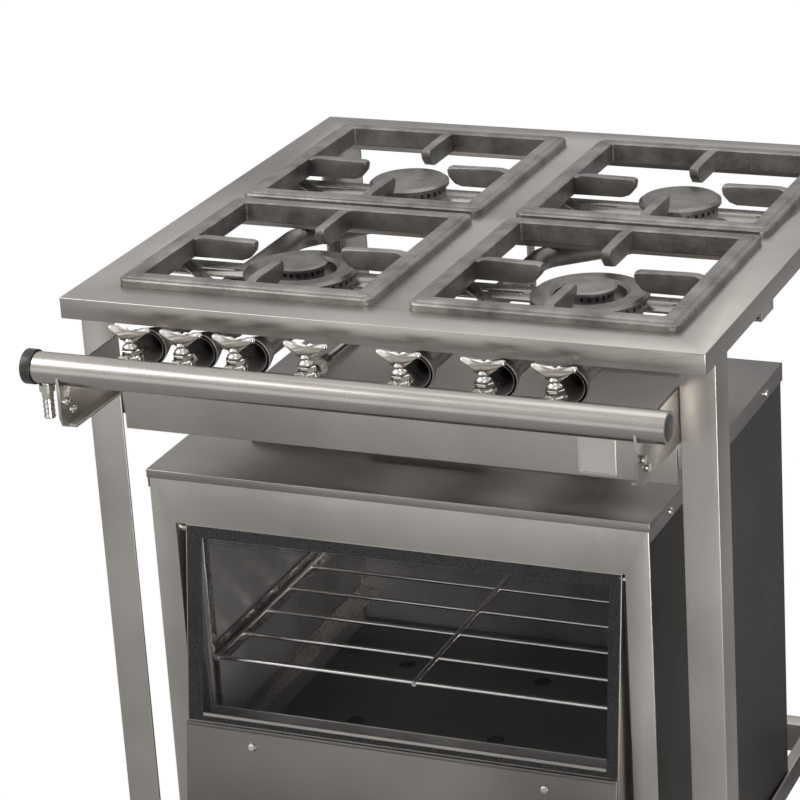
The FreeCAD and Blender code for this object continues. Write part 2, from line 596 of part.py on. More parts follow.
# --- drip tray: a shallow pan with a pull lip, on two low angles fixed along the oven's cover
def make_tray():
    level = "(%s + angle_sheet)" % OVEN_TOP
    x = "(%s + tray_inset)" % OVEN_X
    width = "(oven_width - 2 * tray_inset)"
    pan = cut(
        box(x, "tray_front", level, width, "tray_depth", "tray_wall"),
        box("%s + tray_sheet" % x, "tray_front + tray_sheet", "%s + tray_sheet" % level,
            "%s - 2 * tray_sheet" % width, "tray_depth - 2 * tray_sheet", "tray_wall"))
    lip = box("(frame_width - tray_lip_width) / 2", "tray_front - tray_lip",
              "%s + tray_wall - tray_sheet" % level, "tray_lip_width", "tray_lip + tray_sheet",
              "tray_sheet")
    node("drip_tray", fuse(pan, lip))
    profile = [("0", "0"), ("runner_flange", "0"), ("runner_flange", "angle_sheet"),
               ("angle_sheet", "angle_sheet"), ("angle_sheet", "runner_web"), ("0", "runner_web")]
    mirrored = [("-(%s)" % u, v) for u, v in profile]
    left = "%s - tray_side_gap - angle_sheet" % x
    right = "%s + %s + tray_side_gap + angle_sheet" % (x, width)
    node("tray_runners", group(
        padded(None, "XZ_Plane", profile, "tray_depth", (left, "tray_front", OVEN_TOP), True),
        padded(None, "XZ_Plane", mirrored, "tray_depth", (right, "tray_front", OVEN_TOP), True)))


# --- oven casing, cover, front frame, liner, wool and floor
def make_oven_body():
    ox, oz = OVEN_X, OVEN_Z
    sheet_t = "oven_sheet"
    back = "(oven_front + oven_depth)"
    burner_x, burner_z = "frame_width / 2", "(%s + oven_burner_rise)" % LINER_Z
    passage = cylinder(burner_x, "%s - 80" % back, burner_z, "oven_burner_radius + 2", "120", "y")
    shell = box(ox, "oven_front + oven_sheet", oz, "oven_width", "oven_depth - oven_sheet",
                "oven_height - oven_sheet")
    inside = box("%s + oven_sheet" % ox, "oven_front + oven_sheet - 1", "%s + oven_sheet" % oz,
                 "oven_width - 2 * oven_sheet", "oven_depth - 2 * oven_sheet + 1", "oven_height")
    node("oven_casing", cut(shell, inside, passage))

    top = OVEN_TOP
    cover = box("%s - oven_sheet" % ox, "oven_front - oven_sheet", "%s - oven_sheet" % top,
                "oven_width + 2 * oven_sheet", "oven_depth + 2 * oven_sheet", "oven_sheet")
    skirt = cut(
        box("%s - oven_sheet" % ox, "oven_front - oven_sheet", "%s - cover_flange" % top,
            "oven_width + 2 * oven_sheet", "oven_depth + 2 * oven_sheet", "cover_flange"),
        box(ox, "oven_front", "%s - cover_flange - 1" % top, "oven_width", "oven_depth",
            "cover_flange + 2"))
    front_relief = box("%s - 3 * oven_sheet" % ox, "oven_front - 2 * oven_sheet",
                       "%s - cover_flange - 1" % top, "oven_width + 6 * oven_sheet",
                       "2 * oven_sheet", "cover_flange - 9")
    node("oven_top_cover", fuse(cover, cut(skirt, front_relief)))

    face = box(ox, "oven_front", oz, "oven_width", sheet_t, "oven_height - oven_sheet")
    tunnel = box("%s - oven_sheet" % MOUTH_X, "oven_front", "%s - oven_sheet" % MOUTH_Z,
                 "%s + 2 * oven_sheet" % MOUTH_W, "tunnel_depth",
                 "%s - %s + 2 * oven_sheet" % (MOUTH_TOP, MOUTH_Z))
    mouth = box(MOUTH_X, "oven_front - 1", MOUTH_Z, MOUTH_W, "tunnel_depth + 1 - oven_sheet",
                "%s - %s" % (MOUTH_TOP, MOUTH_Z))
    throat = box(LINER_X, "oven_front", LINER_Z, LINER_W, "tunnel_depth + 2", LINER_H)
    node("oven_front_frame", cut(fuse(face, tunnel), mouth, throat))

    liner_out = box("%s - liner_sheet" % LINER_X, LINER_Y, "%s - liner_sheet" % LINER_Z,
                    "%s + 2 * liner_sheet" % LINER_W, "liner_depth", "%s + 2 * liner_sheet" % LINER_H)
    liner_in = box(LINER_X, "%s - 1" % LINER_Y, LINER_Z, LINER_W, "liner_depth + 1 - liner_sheet",
                   LINER_H)
    node("oven_liner", cut(liner_out, liner_in, passage))

    room = "(liner_sheet + wool_clearance)"
    wool = cut(
        box("%s + oven_sheet + wool_clearance" % ox, "%s + wool_clearance" % LINER_Y,
            "%s + oven_sheet + wool_clearance" % oz,
            "oven_width - 2 * oven_sheet - 2 * wool_clearance",
            "%s - oven_sheet - %s - 2 * wool_clearance" % (back, LINER_Y),
            "oven_height - 2 * oven_sheet - 2 * wool_clearance"),
        box("%s - %s" % (LINER_X, room), LINER_Y, "%s - %s" % (LINER_Z, room),
            "%s + 2 * %s" % (LINER_W, room), "liner_depth + wool_clearance",
            "%s + 2 * %s" % (LINER_H, room)),
        passage)
    node("oven_insulation", wool)

    gap = "floor_gap"
    floor_z = "(%s + oven_floor_rise)" % LINER_Z
    deck = box("%s + %s" % (LINER_X, gap), "%s + %s" % (LINER_Y, gap), floor_z,
               "%s - 2 * %s" % (LINER_W, gap), "liner_depth - liner_sheet - 2 * %s" % gap, "floor_sheet")
    sides = [box(x, "%s + %s" % (LINER_Y, gap), LINER_Z, "floor_sheet",
                 "liner_depth - liner_sheet - 2 * %s" % gap, "oven_floor_rise + floor_sheet")
             for x in ("%s + %s" % (LINER_X, gap), "%s + %s - %s - floor_sheet" % (LINER_X, LINER_W, gap))]
    holes = [cylinder("%s + %s * %s" % (LINER_X, LINER_W, part), "%s + liner_depth * %s" % (LINER_Y, deep),
                      "%s - 1" % floor_z, "floor_hole", "floor_sheet + 2")
             for part in (0.2, 0.55, 0.88) for deep in (0.37, 0.73)]
    node("oven_floor_plate", cut(fuse(deck, *sides), *holes))

    for x in ("%s - oven_sheet - screw_head" % ox, "%s + oven_width + oven_sheet" % ox):
        for y in ("oven_front + 64", "oven_front + oven_depth - 66"):
            BOLTS.append(cylinder(x, y, "%s - cover_flange / 2 - 2" % top, "screw_radius",
                                  "screw_head", "x"))


# --- oven burner: a straight ported tube fed through the back by a small bent pipe
def make_oven_burner():
    x, z = "frame_width / 2", "(%s + oven_burner_rise)" % LINER_Z
    back = "(oven_front + oven_depth)"
    tube = cylinder(x, "oven_burner_front", z, "oven_burner_radius",
                    "%s + 20 - oven_burner_front" % back, "y")
    ports = []
    count = int(number("(%s - 60 - oven_burner_front) / port_pitch" % back))
    for i in range(count):
        y = "oven_burner_front + port_pitch * %d" % (i + 1)
        ports.append(cylinder("%s - oven_burner_radius - 1" % x, y, "%s + 6" % z, "port_radius",
                              "2 * oven_burner_radius + 2", "x"))
    bore = cylinder(x, "oven_burner_front + 3", z, "oven_burner_radius - 3",
                    "%s + 20 - oven_burner_front" % back, "y")
    foot = box("%s - 10" % x, "oven_burner_front", LINER_Z, "20", "16", "oven_burner_rise")
    node("oven_burner", cut(fuse(tube, foot), bore, *ports))


def make_oven_feed():
    tap_x, centre = number(TAPS["oven"]), number("frame_width / 2")
    gas_z, low_z = number(GAS_Z), number("%s + oven_burner_rise" % LINER_Z)
    start_y = number("mouth_start - injector_gap")
    back_y = number("feed_back")
    end_y = number("oven_front + oven_depth + 24")
    path = rounded_path([
        Vector(tap_x, start_y, gas_z), Vector(tap_x, back_y, gas_z), Vector(tap_x, back_y, low_z),
        Vector(centre, back_y, low_z), Vector(centre, end_y, low_z)], number("feed_bend"))
    ring = Part.Wire(Part.makeCircle(number("feed_radius"), Vector(tap_x, start_y, gas_z), Vector(0, 1, 0)))
    pipe = doc.addObject("Part::Feature", "feed")
    pipe.Shape = path.makePipeShell([ring], True, True)
    nose = cone("frame_width / 2", "oven_front + oven_depth + 8", "%s + oven_burner_rise" % LINER_Z,
                "injector_radius - 1", "feed_radius", "18", "y")
    nut = cylinder(TAPS["oven"], "mouth_start - injector_gap", GAS_Z, "feed_radius + 4", "14", "y")
    node("oven_gas_pipe", fuse(pipe, nose, nut))


# --- rack and its guides
def make_rack():
    wall = {"left": LINER_X, "right": "%s + %s" % (LINER_X, LINER_W)}
    post_top = "%s - 20" % LINER_H
    first = "%s + guide_setback" % LINER_Y
    last = "%s + liner_depth - liner_sheet - guide_setback - post_width" % LINER_Y
    guides = []
    for side, x in wall.items():
        sign = 1 if side == "left" else -1
        post_x = x if sign > 0 else "%s - guide_sheet" % x
        posts = [box(post_x, y, LINER_Z, "guide_sheet", "post_width", post_top) for y in (first, last)]
        run = "%s + post_width - (%s)" % (last, first)
        angles = []
        for level in ("upper_guide", "lower_guide"):
            web_x = "%s + guide_sheet" % x if sign > 0 else "%s - 2 * guide_sheet" % x
            flange_x = web_x if sign > 0 else "%s - guide_sheet - guide_flange" % x
            angles.append(box(web_x, first, "%s + %s" % (LINER_Z, level), "guide_sheet", run, "guide_web"))
            angles.append(box(flange_x, first, "%s + %s" % (LINER_Z, level), "guide_flange", run,
                              "guide_sheet"))
        guides.append(fuse(*posts, *angles))
    node("rack_guides", group(*guides))

    rack_wires = 7
    z = "(%s + upper_guide + guide_sheet + border_wire)" % LINER_Z
    x0 = "(%s + 2 * guide_sheet + rack_clearance + border_wire)" % LINER_X
    x1 = "(%s + %s - 2 * guide_sheet - rack_clearance - border_wire)" % (LINER_X, LINER_W)
    wires = []
    for i in range(rack_wires):
        y = "rack_front + border_wire + (rack_depth - 2 * border_wire) * %d / %d" % (i, rack_wires - 1)
        wires.append(cylinder(x0, y, z, "wire_radius", "%s - %s" % (x1, x0), "x"))
    for x in (x0, "frame_width / 2", x1):
        wires.append(cylinder(x, "rack_front", z, "border_wire", "rack_depth", "y"))
    node("oven_rack", fuse(*wires))


# --- door: a wedge-shaped pan hung from two pins, with glass above a plain panel
DOOR_X = "(%s + door_side_gap)" % MOUTH_X
DOOR_W = "(%s - 2 * door_side_gap)" % MOUTH_W
DOOR_TOP = "(%s - door_top_gap)" % MOUTH_TOP
DOOR_LOW = "(%s + door_bottom_gap)" % MOUTH_Z
DOOR_Y = "(oven_front + door_setback)"
PIN_Y = "(%s + pin_back)" % DOOR_Y
PIN_Z = "(%s - pin_down)" % DOOR_TOP


def leaning(thing):
    """Gives a door piece the lean of the door's face, about the face's top edge."""
    angle = number("atan(door_lean / (%s - %s))" % (DOOR_TOP, DOOR_LOW))
    thing.Placement = Placement(Vector(), Rotation(Vector(1, 0, 0), -float(angle)))
    return thing


def make_door():
    back = "(%s + door_back - door_setback)" % DOOR_Y
    slope = "(door_lean / (%s - %s))" % (DOOR_TOP, DOOR_LOW)
    low_front = "%s - door_lean" % DOOR_Y
    outer = padded(None, "YZ_Plane", [
        (DOOR_Y, DOOR_TOP), (low_front, DOOR_LOW), (back, DOOR_LOW), (back, DOOR_TOP)],
        DOOR_W, (DOOR_X, "0", "0"))
    inner = padded(None, "YZ_Plane", [
        ("%s + door_sheet + door_sheet * %s" % (DOOR_Y, "0"), "%s - door_sheet" % DOOR_TOP),
        ("%s + door_sheet + door_sheet * %s" % (low_front, slope), "%s + door_sheet" % DOOR_LOW),
        ("%s + 5" % back, "%s + door_sheet" % DOOR_LOW), ("%s + 5" % back, "%s - door_sheet" % DOOR_TOP)],
        "%s - 2 * door_sheet" % DOOR_W, ("%s + door_sheet" % DOOR_X, "0", "0"))
    window = box("%s + window_edge" % DOOR_X, "%s - door_lean - 10" % DOOR_Y,
                 "%s - glass_height + window_edge" % DOOR_TOP, "%s - 2 * window_edge" % DOOR_W,
                 "door_lean + 24", "glass_height - 2 * window_edge")
    pins = cylinder("%s - 5" % DOOR_X, PIN_Y, PIN_Z, "pin_radius + pin_clearance", "%s + 10" % DOOR_W, "x")
    node("door_frame", cut(outer, inner, window, pins))

    panel_top = "(glass_height + panel_gap)"
    length = "(sqrt((%s - %s) ^ 2 + door_lean ^ 2))" % (DOOR_TOP, DOOR_LOW)
    moved = (DOOR_X, DOOR_Y, DOOR_TOP)
    glass = box("1", "-glass_thick", "-glass_height", "%s - 2" % DOOR_W, "glass_thick",
                "glass_height - 2")
    node("door_glass", leaning(group(glass)), moved)
    panel = box(0, "-panel_thick", "-%s" % length, DOOR_W, "panel_thick", "%s - %s" % (length, panel_top))
    node("door_panel", leaning(group(panel)), moved)
    heads = [cylinder("%s * %s" % (DOOR_W, share), "-panel_thick - screw_head", "-%s - 20" % panel_top,
                      "screw_radius", "screw_head", "y") for share in (0.16, 0.84)]
    node("door_screws", leaning(group(*heads)), moved)
    handle_z = "(handle_up - %s)" % length
    grip_y = "(-panel_thick - handle_stand)"
    bar = cylinder("(%s - handle_length) / 2" % DOOR_W, grip_y, handle_z, "handle_radius",
                   "handle_length", "x")
    posts = [cylinder("%s / 2 + %s" % (DOOR_W, x), grip_y, handle_z, "handle_radius - 2",
                      "handle_stand", "y") for x in ("handle_length / 2 - 24", "24 - handle_length / 2")]
    node("door_handle", leaning(fuse(bar, *posts)), moved)
    inner_panel = box("%s + door_sheet + 0.5" % DOOR_X, "%s - door_sheet" % back,
                      "%s + door_sheet" % DOOR_LOW, "%s - 2 * door_sheet - 1" % DOOR_W, "door_sheet",
                      "%s - glass_height - %s - door_sheet - 4" % (DOOR_TOP, DOOR_LOW))
    node("door_inner_panel", inner_panel)
    reach = "door_side_gap + door_sheet + 4"
    pins = [cylinder(MOUTH_X, PIN_Y, PIN_Z, "pin_radius", reach, "x"),
            cylinder("%s + %s - (%s)" % (MOUTH_X, MOUTH_W, reach), PIN_Y, PIN_Z, "pin_radius", reach, "x")]
    node("door_hinge_pins", group(*pins))


make_top_frame()
make_legs()
make_stretchers()
make_oven_rails()
for side_name, column in COLUMNS.items():
    for row_name, row_y in ROWS.items():
        make_grate("%s_%s_grate" % (row_name, side_name), column, row_y)
make_front_burner("left", TAPS["front_left_outer"], TAPS["front_left_inner"])
make_front_burner("right", TAPS["front_right_outer"], TAPS["front_right_inner"])
make_rear_burner("left", TAPS["rear_left"])
make_rear_burner("right", TAPS["rear_right"])
make_caps()
make_burner_bars()
make_straps()
make_pipe()
make_brackets()
make_taps()
make_apron()
make_tray()
make_oven_body()
make_oven_burner()
make_oven_feed()
make_rack()
make_door()
node("frame_bolts", group(*BOLTS))
doc.recompute()

faults = [o.Name for o in doc.Objects if {"Invalid", "Error"} & set(o.State)]
faults += [o.Label for o in NODES if o.Shape.isNull() or not o.Shape.isValid() or not o.Shape.Solids]
if faults:
    raise SystemExit("these objects failed: %s" % faults)
os.makedirs("parts", exist_ok=True)
for piece in NODES:
    piece.Shape.exportStep("parts/%s.step" % piece.Label)
    size = piece.Shape.BoundBox
    print("%-26s %2d solid(s) %10.0f mm3  x %.1f..%.1f y %.1f..%.1f z %.1f..%.1f" % (
        piece.Label, len(piece.Shape.Solids), piece.Shape.Volume,
        size.XMin, size.XMax, size.YMin, size.YMax, size.ZMin, size.ZMax))
print(len(NODES), "nodes")
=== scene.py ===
import bmesh
import bpy
import json
import math
from mathutils import Matrix, Vector


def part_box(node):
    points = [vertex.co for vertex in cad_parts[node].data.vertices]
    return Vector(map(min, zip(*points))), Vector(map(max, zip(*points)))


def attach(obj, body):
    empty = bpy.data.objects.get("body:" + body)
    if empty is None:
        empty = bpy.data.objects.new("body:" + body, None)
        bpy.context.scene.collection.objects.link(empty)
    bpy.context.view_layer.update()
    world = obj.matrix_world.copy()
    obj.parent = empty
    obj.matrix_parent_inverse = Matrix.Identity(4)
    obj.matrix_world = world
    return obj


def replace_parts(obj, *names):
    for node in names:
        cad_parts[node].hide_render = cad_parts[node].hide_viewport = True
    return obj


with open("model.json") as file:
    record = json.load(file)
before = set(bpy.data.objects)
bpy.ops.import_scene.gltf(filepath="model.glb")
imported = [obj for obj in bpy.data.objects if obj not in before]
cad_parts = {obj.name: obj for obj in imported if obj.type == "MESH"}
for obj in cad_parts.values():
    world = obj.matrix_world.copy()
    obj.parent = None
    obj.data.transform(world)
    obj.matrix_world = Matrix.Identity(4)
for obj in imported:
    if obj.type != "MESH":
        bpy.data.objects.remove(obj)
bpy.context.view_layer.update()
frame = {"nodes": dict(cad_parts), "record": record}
body_of_node = {n: b for b, group in frame["record"]["behaviour"]["bodies"].items() for n in group}


# ---- Top frame
# One sheet of satin stainless steel, cut for the four grates and folded down into a lip all round.
# Its folds are slightly round and the brushing runs from side to side.
def new_finish(name, colour, metallic, roughness):
    finish = bpy.data.materials.new(name)
    finish.use_nodes = True
    nodes = finish.node_tree.nodes
    shader = nodes["Principled BSDF"]
    shader.inputs["Base Color"].default_value = (*colour, 1)
    shader.inputs["Metallic"].default_value = metallic
    shader.inputs["Roughness"].default_value = roughness
    return finish, nodes, finish.node_tree.links, shader


def grain(nodes, links, stretch, scale, detail=4.0, rough=0.6):
    """Noise laid on the piece itself, drawn out along one of its directions."""
    where = nodes.new("ShaderNodeTexCoord")
    lay = nodes.new("ShaderNodeMapping")
    lay.inputs["Scale"].default_value = stretch
    noise = nodes.new("ShaderNodeTexNoise")
    noise.inputs["Scale"].default_value = scale
    noise.inputs["Detail"].default_value = detail
    noise.inputs["Roughness"].default_value = rough
    links.new(where.outputs["Object"], lay.inputs["Vector"])
    links.new(lay.outputs["Vector"], noise.inputs["Vector"])
    return noise.outputs["Fac"]


def tint(nodes, links, shader, fac, dark, light, low=0.3, high=0.7):
    ramp = nodes.new("ShaderNodeValToRGB")
    ramp.color_ramp.elements[0].position = low
    ramp.color_ramp.elements[1].position = high
    ramp.color_ramp.elements[0].color = (*dark, 1)
    ramp.color_ramp.elements[1].color = (*light, 1)
    links.new(fac, ramp.inputs["Fac"])
    links.new(ramp.outputs["Color"], shader.inputs["Base Color"])


def sheen_spread(nodes, links, shader, fac, low, high):
    spread = nodes.new("ShaderNodeMapRange")
    spread.inputs["From Min"].default_value = 0.3
    spread.inputs["From Max"].default_value = 0.7
    spread.inputs["To Min"].default_value = low
    spread.inputs["To Max"].default_value = high
    links.new(fac, spread.inputs["Value"])
    links.new(spread.outputs["Result"], shader.inputs["Roughness"])


def relief(nodes, links, shader, layers):
    """Height layers of (noise, depth in metres), one on top of another."""
    last = None
    for fac, depth in layers:
        bump = nodes.new("ShaderNodeBump")
        bump.inputs["Strength"].default_value = 1.0
        bump.inputs["Distance"].default_value = depth
        links.new(fac, bump.inputs["Height"])
        if last:
            links.new(last, bump.inputs["Normal"])
        last = bump.outputs["Normal"]
    links.new(last, shader.inputs["Normal"])


def satin_steel(name, stretch, dark, light, rough=(0.3, 0.44), depth=0.00002):
    finish, nodes, links, shader = new_finish(name, light, 1.0, 0.36)
    lines = grain(nodes, links, stretch, 60, 5, 0.7)
    clouds = grain(nodes, links, (1, 1, 1), 5, 3, 0.5)
    tint(nodes, links, shader, clouds, dark, light)
    sheen_spread(nodes, links, shader, lines, *rough)
    relief(nodes, links, shader, [(lines, depth), (clouds, depth * 20)])
    return finish


steel_across = satin_steel("satin_steel_across", (1, 14, 14), (0.34, 0.319, 0.297), (0.48, 0.451, 0.42),
                           (0.26, 0.4))
steel_upright = satin_steel("satin_steel_upright", (14, 14, 1), (0.34, 0.319, 0.297),
                            (0.5, 0.47, 0.438), (0.3, 0.42))


def skin(piece, finish):
    piece.data.materials.clear()
    piece.data.materials.append(finish)
    return piece


def made(name, bm, finish, body, crease=35):
    """A finished mesh becomes a piece that rides on a body."""
    bmesh.ops.recalc_face_normals(bm, faces=bm.faces[:])
    mesh = bpy.data.meshes.new(name)
    bm.to_mesh(mesh)
    bm.free()
    mesh.polygons.foreach_set("use_smooth", [True] * len(mesh.polygons))
    mesh.set_sharp_from_angle(angle=math.radians(crease))
    piece = bpy.data.objects.new(name, mesh)
    bpy.context.collection.objects.link(piece)
    skin(piece, finish)
    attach(piece, body)
    return piece


def eased(node, width, finish, steps=2):
    """The same piece with its folds and cut edges eased round, as a brake press and a file leave them."""
    bm = bmesh.new()
    bm.from_mesh(frame["nodes"][node].data)
    bmesh.ops.remove_doubles(bm, verts=bm.verts[:], dist=0.00001)
    bmesh.ops.dissolve_limit(bm, angle_limit=math.radians(1), verts=bm.verts[:], edges=bm.edges[:])
    sharp = [e for e in bm.edges if len(e.link_faces) == 2 and e.calc_face_angle(0) > math.radians(40)]
    bmesh.ops.bevel(bm, geom=sharp, offset=width, offset_type="OFFSET", segments=steps, profile=0.5,
                    affect="EDGES", clamp_overlap=True)
    piece = made(node + "_eased", bm, finish, body_of_node[node], 50)
    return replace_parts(piece, node)


eased("top_frame", 0.0009, steel_across)


# ---- Legs and lower stand
# Four bent angles with their corner outwards, tied near the floor by angle stretchers and standing
# on moulded feet. Two more angles lie across the stretchers and carry the oven, and the drip tray's
# runners are angles of the same sheet steel.
for leg in ("front_left_leg", "front_right_leg", "rear_left_leg", "rear_right_leg"):
    eased(leg, 0.0012, steel_upright, 3)
for rail in ("side_stretchers", "cross_stretchers", "oven_rails", "tray_runners"):
    eased(rail, 0.0008, steel_across)

moulded_black, foot_nodes, foot_links, foot_shader = new_finish("moulded_black", (0.02, 0.02, 0.02), 0, 0.6)
foot_pits = grain(foot_nodes, foot_links, (1, 1, 1), 900)
tint(foot_nodes, foot_links, foot_shader, foot_pits, (0.014, 0.014, 0.014), (0.03, 0.03, 0.03))
relief(foot_nodes, foot_links, foot_shader, [(foot_pits, 0.0001)])
eased("leg_feet", 0.0015, moulded_black)


# ---- Grates
# Grey iron castings: a stepped rim that drops into the frame, and four plate fingers that stop short
# of the middle. The skin of the sand mould still shows.
def cast_iron(name, dark, light, metallic, rough):
    finish, nodes, links, shader = new_finish(name, light, metallic, sum(rough) / 2)
    sand = grain(nodes, links, (1, 1, 1), 900, 3, 0.7)
    pits = grain(nodes, links, (1, 1, 1), 260, 4, 0.6)
    clouds = grain(nodes, links, (1, 1, 1), 22, 4, 0.6)
    tint(nodes, links, shader, clouds, dark, light, 0.25, 0.75)
    sheen_spread(nodes, links, shader, pits, *rough)
    relief(nodes, links, shader, [(clouds, 0.0012), (pits, 0.0005), (sand, 0.00022)])
    return finish


grate_iron = cast_iron("grate_iron", (0.10, 0.094, 0.087), (0.34, 0.319, 0.296), 0.8, (0.26, 0.46))
RIM_SECTION = [(0, 0.850), (0, 0.8562), (0.0014, 0.8578), (0.0062, 0.858), (0.0080, 0.8597),
               (0.0095, 0.860), (0.0200, 0.860), (0.0218, 0.8586), (0.022, 0.838), (0.0205, 0.8362),
               (0.0102, 0.8362), (0.0084, 0.838), (0.0080, 0.850)]
FINGER_SIDE = [(0.0205, 0.8362), (0.0205, 0.8588), (0.030, 0.8598), (0.040, 0.8600), (0.0925, 0.8600),
               (0.0968, 0.8585), (0.0980, 0.8550), (0.0965, 0.8480), (0.0890, 0.8395), (0.0800, 0.8364)]


def rounded_square(half, radius, z, steps=7):
    ring = []
    for quarter in range(4):
        turn = quarter * math.pi / 2
        for step in range(steps + 1):
            angle = turn + step / steps * math.pi / 2
            corner = Vector((math.cos(turn + math.pi / 4), math.sin(turn + math.pi / 4))) * math.sqrt(2)
            spot = corner * (half - radius) + Vector((math.cos(angle), math.sin(angle))) * radius
            ring.append(Vector((spot.x, spot.y, z)))
    return ring


def bridge_rings(bm, rings, close=True):
    rows = [[bm.verts.new(p) for p in ring] for ring in rings]
    pairs = zip(rows, rows[1:] + rows[:1]) if close else zip(rows, rows[1:])
    for near, far in pairs:
        for i in range(len(near)):
            j = (i + 1) % len(near)
            bm.faces.new((near[i], near[j], far[j], far[i]))
    return rows


def plate(bm, side, thick, ease, steps=2):
    """A flat outline in (along, up), given a thickness, with its edges eased."""
    near = [bm.verts.new((a, -thick / 2, z)) for a, z in side]
    far = [bm.verts.new((a, thick / 2, z)) for a, z in side]
    fresh = [bm.faces.new(near), bm.faces.new(far[::-1])]
    for i in range(len(side)):
        j = (i + 1) % len(side)
        fresh.append(bm.faces.new((near[i], far[i], far[j], near[j])))
    rims = [e for f in fresh[:2] for e in f.edges]
    result = bmesh.ops.bevel(bm, geom=rims, offset=ease, segments=steps, profile=0.5, affect="EDGES",
                             clamp_overlap=True)
    return list({v for f in result["faces"] for v in f.verts} | set(v for v in near + far if v.is_valid))


for row in ("front", "rear"):
    for side in ("left", "right"):
        low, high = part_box(f"{row}_{side}_grate")
        centre = Vector(((low.x + high.x) / 2, (low.y + high.y) / 2, 0))
        half = (high.x - low.x) / 2
        bm = bmesh.new()
        bridge_rings(bm, [rounded_square(half - d, max(0.012 - d, 0.003), z) for d, z in RIM_SECTION])
        for quarter in range(4):
            finger = bmesh.new()
            plate(finger, [(s - half, z) for s, z in FINGER_SIDE], 0.0118, 0.0022, 3)
            finger.transform(Matrix.Rotation(quarter * math.pi / 2, 4, "Z"))
            fresh = bpy.data.meshes.new("finger")
            finger.to_mesh(fresh)
            finger.free()
            bm.from_mesh(fresh)
        bm.transform(Matrix.Translation(centre))
        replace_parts(made(f"{row}_{side}_grate_casting", bm, grate_iron, f"{row}_{side}_grate_body"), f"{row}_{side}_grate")


# ---- Burners
# Iron castings with flared mixing tubes, and turned caps with flame slots round the skirt.
# They sit over slotted strips of bright steel that hang from the frame.
burner_iron = cast_iron("burner_iron", (0.17, 0.16, 0.149), (0.38, 0.357, 0.332), 0.85, (0.26, 0.46))
cap_iron = cast_iron("cap_iron", (0.1, 0.094, 0.087), (0.27, 0.254, 0.236), 0.8, (0.28, 0.48))
for node in frame["nodes"]:
    if node.endswith("_burner") and node != "oven_burner":
        skin(frame["nodes"][node], burner_iron)
    if node.endswith("_cap"):
        skin(frame["nodes"][node], cap_iron)
# A mouth is open at both ends, so its ribs are rings of one closed section.
MOUTH_RIBS = [(0.0176, 0), (0.0200, 0), (0.0210, 0.0010), (0.0210, 0.0028), (0.0190, 0.0040),
              (0.0200, 0.0054), (0.0200, 0.0070), (0.0178, 0.0084), (0.0189, 0.0098), (0.0189, 0.0114),
              (0.0166, 0.0128), (0.0177, 0.0142), (0.0177, 0.0158), (0.0152, 0.0174), (0.0164, 0.0188),
              (0.0164, 0.0204), (0.0140, 0.0220), (0.0130, 0.0220)]
for burner, taps in (("rear_left", ("rear_left",)), ("rear_right", ("rear_right",)),
                     ("front_left", ("front_left_outer", "front_left_inner")),
                     ("front_right", ("front_right_outer", "front_right_inner"))):
    bm = bmesh.new()
    for tap in taps:
        low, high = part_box(tap + "_tap_handle")
        mouth = Vector(((low.x + high.x) / 2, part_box("rear_left_burner")[0].y, 0.8))
        angles = [i * math.pi / 20 for i in range(40)]
        bridge_rings(bm, [[mouth + Vector((r * math.cos(a), along, r * math.sin(a))) for a in angles]
                          for r, along in MOUTH_RIBS])
    made(burner + "_mouth_ribs", bm, burner_iron, "range_frame", 30)
bright_plate = satin_steel("bright_plate", (3, 3, 3), (0.36, 0.34, 0.317), (0.56, 0.53, 0.495), (0.22, 0.38))
for node in ("burner_bars", "burner_straps", "rack_guides"):
    eased(node, 0.0005, bright_plate)


# ---- Gas pipe, end cap, inlet and brackets
# A polished pipe across the front in two folded side brackets, closed by a dark rimmed cap, with the
# hose nipple hanging under its left end.
def turned(bm, side, centre, axis, sides=32):
    """A side outline of (radius, height) turned about an axis through centre."""
    tilt = Vector((0, 0, 1)).rotation_difference(Vector(axis)).to_matrix()
    rings = []
    for radius, height in side:
        ring = []
        for i in range(sides):
            angle = 2 * math.pi * i / sides
            spot = Vector((radius * math.cos(angle), radius * math.sin(angle), height))
            ring.append(Vector(centre) + tilt @ spot)
        rings.append(ring)
    rows = bridge_rings(bm, rings, close=False)
    bm.faces.new(rows[0][::-1])
    bm.faces.new(rows[-1])


polished = satin_steel("polished_pipe", (1, 10, 10), (0.33, 0.31, 0.288),
                        (0.45, 0.423, 0.394), (0.2, 0.28), 0.00001)
dark_cap, cap_nodes, cap_links, cap_shader = new_finish("dark_cap", (0.05, 0.05, 0.048), 0.6, 0.35)
cap_clouds = grain(cap_nodes, cap_links, (1, 1, 1), 60)
tint(cap_nodes, cap_links, cap_shader, cap_clouds, (0.03, 0.03, 0.029), (0.075, 0.073, 0.07))
relief(cap_nodes, cap_links, cap_shader, [(cap_clouds, 0.0002)])
skin(frame["nodes"]["gas_pipe"], polished)
eased("pipe_end_caps", 0.0012, dark_cap, 3)
eased("pipe_brackets", 0.0007, steel_across)
nipple_low, nipple_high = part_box("gas_inlet_nipple")
nipple = ((nipple_low.x + nipple_high.x) / 2, (nipple_low.y + nipple_high.y) / 2, nipple_low.z)
bm = bmesh.new()
turned(bm, [(0.0042, 0), (0.0056, 0.0004), (0.0064, 0.0020), (0.0056, 0.0060), (0.0064, 0.0075),
            (0.0056, 0.0115), (0.0064, 0.0130), (0.0056, 0.0170), (0.0064, 0.0185),
            (0.0056, 0.0225), (0.0064, 0.0240), (0.0064, 0.0308),
            (0.0085, 0.0312), (0.0085, 0.0390), (0.0064, 0.0394), (0.0064, 0.0438)], nipple, (0, 0, 1))
chrome = satin_steel("chrome_fitting", (1, 1, 1),
                     (0.54, 0.515, 0.485), (0.7, 0.67, 0.63), (0.08, 0.18), 0.00001)
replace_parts(made("gas_inlet_turned", bm, chrome, "range_frame"), "gas_inlet_nipple")


